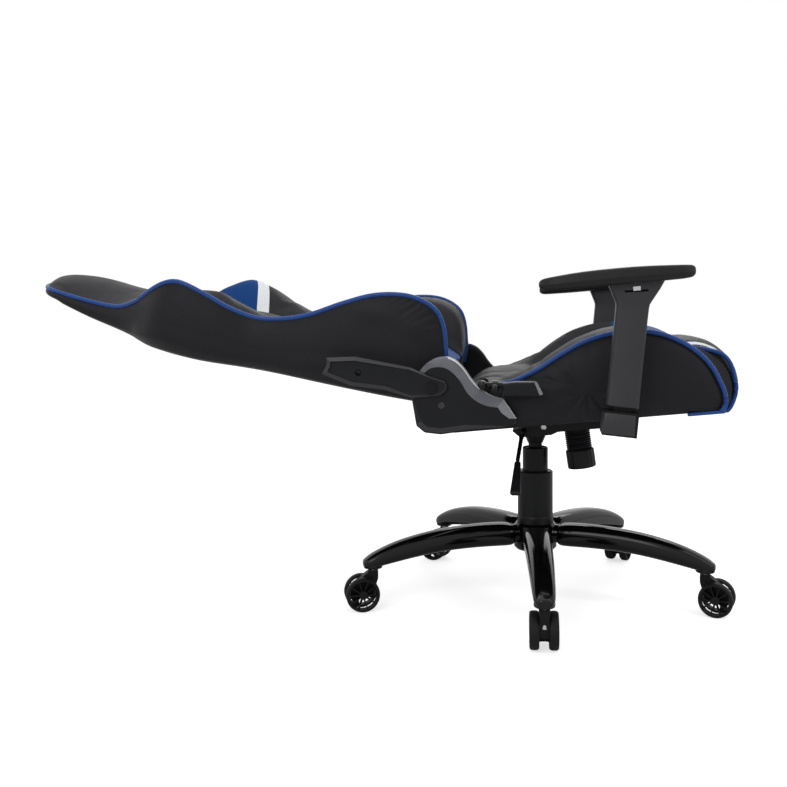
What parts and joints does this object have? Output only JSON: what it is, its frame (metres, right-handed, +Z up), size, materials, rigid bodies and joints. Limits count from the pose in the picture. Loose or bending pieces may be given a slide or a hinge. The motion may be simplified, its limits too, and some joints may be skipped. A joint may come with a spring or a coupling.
{
  "type": "gaming chair",
  "caption": "Reclining bucket-seat swivel chair with piped upholstery, side armrests, gas column and a castered star base, its backrest laid right back.",
  "frame": {"origin": "on the floor, on the column's axis", "axes": "+X to the front of the seat, +Y to the sitter's left, +Z up"},
  "size_m": [1.4364, 0.7458, 0.6738],
  "materials": {
    "base_paint": "gloss black paint",
    "caster_nylon": "black nylon",
    "caster_tread": "black polyurethane tread on nylon spokes",
    "bare_steel": "bright steel",
    "column_paint": "black satin paint",
    "cast_black": "black-painted casting",
    "cylinder_steel": "dark ground steel",
    "spring_steel": "spring steel",
    "bush_nylon": "natural nylon",
    "moulded_black": "black moulded plastic",
    "pad_black": "soft black polyurethane",
    "grey_strip": "grey satin trim",
    "button_silver": "silver button",
    "plywood": "plywood board",
    "upholstery": "black synthetic leather over foam",
    "rear_cover_skin": "black synthetic leather",
    "black_steel": "black powder coat"
  },
  "bodies": {
    "base": {"base_hub": "base_paint", "base_leg_1": "base_paint", "base_leg_2": "base_paint", "base_leg_3": "base_paint", "base_leg_4": "base_paint", "base_leg_5": "base_paint", "column_tube": "column_paint", "guide_bush": "bush_nylon", "column_cover": "moulded_black"},
    "caster_1": {"caster_1_housing": "caster_nylon", "caster_1_pins": "bare_steel"},
    "caster_1_wheelset": {"caster_1_wheels": "caster_tread"},
    "caster_2": {"caster_2_housing": "caster_nylon", "caster_2_pins": "bare_steel"},
    "caster_2_wheelset": {"caster_2_wheels": "caster_tread"},
    "caster_3": {"caster_3_housing": "caster_nylon", "caster_3_pins": "bare_steel"},
    "caster_3_wheelset": {"caster_3_wheels": "caster_tread"},
    "caster_4": {"caster_4_housing": "caster_nylon", "caster_4_pins": "bare_steel"},
    "caster_4_wheelset": {"caster_4_wheels": "caster_tread"},
    "caster_5": {"caster_5_housing": "caster_nylon", "caster_5_pins": "bare_steel"},
    "caster_5_wheelset": {"caster_5_wheels": "caster_tread"},
    "piston": {"piston_rod": "bare_steel"},
    "lift": {"lift_cylinder": "cylinder_steel", "mech_housing": "cast_black", "tilt_axle": "bare_steel", "tilt_spring": "spring_steel"},
    "knob": {"tension_knob": "moulded_black"},
    "lift_lever": {"lift_lever_rod": "column_paint", "lift_lever_paddle": "moulded_black"},
    "seat": {"seat_plate": "column_paint", "seat_board": "plywood", "seat_cushion": "upholstery", "seat_bolster_right": "upholstery", "seat_bolster_left": "upholstery", "hinge_plates": "black_steel", "hinge_cover_right": "moulded_black", "hinge_cover_left": "moulded_black", "hinge_strips": "grey_strip", "hinge_pins": "bare_steel", "arm_bracket_right": "cast_black", "arm_bracket_left": "cast_black"},
    "recline_handle": {"recline_lever": "black_steel", "recline_grip": "moulded_black"},
    "back": {"back_frame": "black_steel", "back_rear_cover": "rear_cover_skin", "back_cushion": "upholstery", "head_cushion": "upholstery", "back_bolster_right": "upholstery", "back_bolster_left": "upholstery", "back_arm_right": "black_steel", "back_arm_left": "black_steel"},
    "arm_right": {"arm_upright_right": "moulded_black"},
    "button_right": {"arm_button_right": "button_silver"},
    "pad_right": {"arm_pad_right": "pad_black"},
    "arm_left": {"arm_upright_left": "moulded_black"},
    "button_left": {"arm_button_left": "button_silver"},
    "pad_left": {"arm_pad_left": "pad_black"}
  },
  "joints": [
    {"name": "caster_1_swivel", "type": "hinge", "parent": "base", "child": "caster_1", "pos_m": [0.01779, -0.33953, 0.09], "axis": [0, 0, 1], "continuous": true},
    {"name": "caster_1_roll", "type": "hinge", "parent": "caster_1", "child": "caster_1_wheelset", "pos_m": [0.01703, -0.31755, 0.033], "axis": [-0.9994, -0.0349, 0], "continuous": true},
    {"name": "caster_2_swivel", "type": "hinge", "parent": "base", "child": "caster_2", "pos_m": [0.32842, -0.088, 0.09], "axis": [0, 0, 1], "continuous": true},
    {"name": "caster_2_roll", "type": "hinge", "parent": "caster_2", "child": "caster_2_wheelset", "pos_m": [0.34934, -0.0948, 0.033], "axis": [0.309, 0.9511, 0], "continuous": true},
    {"name": "caster_3_swivel", "type": "hinge", "parent": "base", "child": "caster_3", "pos_m": [0.18518, 0.28515, 0.09], "axis": [0, 0, 1], "continuous": true},
    {"name": "caster_3_roll", "type": "hinge", "parent": "caster_3", "child": "caster_3_wheelset", "pos_m": [0.1927, 0.30582, 0.033], "axis": [-0.9397, 0.342, 0], "continuous": true},
    {"name": "caster_4_swivel", "type": "hinge", "parent": "base", "child": "caster_4", "pos_m": [-0.21397, 0.26423, 0.09], "axis": [0, 0, 1], "continuous": true},
    {"name": "caster_4_roll", "type": "hinge", "parent": "caster_4", "child": "caster_4_wheelset", "pos_m": [-0.23464, 0.27175, 0.033], "axis": [-0.342, -0.9397, 0], "continuous": true},
    {"name": "caster_5_swivel", "type": "hinge", "parent": "base", "child": "caster_5", "pos_m": [-0.31742, -0.12184, 0.09], "axis": [0, 0, 1], "continuous": true},
    {"name": "caster_5_roll", "type": "hinge", "parent": "caster_5", "child": "caster_5_wheelset", "pos_m": [-0.33834, -0.12864, 0.033], "axis": [0.309, -0.9511, 0], "continuous": true},
    {"name": "chair_swivel", "type": "hinge", "parent": "base", "child": "piston", "pos_m": [0, 0, 0.1], "axis": [0, 0, 1], "continuous": true},
    {"name": "height_slide", "type": "slide", "parent": "piston", "child": "lift", "axis": [0, 0, 1], "range_m": [0, 0.08]},
    {"name": "seat_rock", "type": "hinge", "parent": "lift", "child": "seat", "pos_m": [0.05666, 0, 0.36336], "axis": [0, -1, 0], "range_deg": [0, 12], "stiffness_Nm_per_rad": 400, "springref_deg": -22.92},
    {"name": "tension_turn", "type": "hinge", "parent": "lift", "child": "knob", "pos_m": [0.08439, 0, 0.34664], "axis": [-0.1392, 0, 0.9903], "continuous": true},
    {"name": "lift_lever_pull", "type": "hinge", "parent": "lift", "child": "lift_lever", "pos_m": [-0.022, -0.058, 0.344], "axis": [-1, 0, 0], "range_deg": [0, 8], "stiffness_Nm_per_rad": 4, "springref_deg": -8.59},
    {"name": "back_recline", "type": "hinge", "parent": "seat", "child": "back", "pos_m": [-0.183, 0, 0.451], "axis": [0, 1, 0], "range_deg": [0, 69]},
    {"name": "recline_handle_lift", "type": "hinge", "parent": "seat", "child": "recline_handle", "pos_m": [-0.091, -0.28, 0.458], "axis": [0, -1, 0], "range_deg": [0, 20], "stiffness_Nm_per_rad": 2, "springref_deg": -11.46},
    {"name": "arm_right_height", "type": "slide", "parent": "seat", "child": "arm_right", "axis": [0.0993, 0, 0.9951], "range_m": [0, 0.07]},
    {"name": "pad_right_swivel", "type": "hinge", "parent": "arm_right", "child": "pad_right", "pos_m": [0.17116, -0.327, 0.63639], "axis": [-0.0854, 0, 0.9963], "range_deg": [-20, 20]},
    {"name": "button_right_press", "type": "slide", "parent": "arm_right", "child": "button_right", "axis": [0, 1, 0], "range_m": [0, 0.002], "stiffness_N_per_m": 600, "springref_m": -0.001},
    {"name": "arm_left_height", "type": "slide", "parent": "seat", "child": "arm_left", "axis": [0.0993, 0, 0.9951], "range_m": [0, 0.07]},
    {"name": "pad_left_swivel", "type": "hinge", "parent": "arm_left", "child": "pad_left", "pos_m": [0.17116, 0.327, 0.63639], "axis": [-0.0854, 0, 0.9963], "range_deg": [-20, 20]},
    {"name": "button_left_press", "type": "slide", "parent": "arm_left", "child": "button_left", "axis": [0, -1, 0], "range_m": [0, 0.002], "stiffness_N_per_m": 600, "springref_m": -0.001}
  ]
}
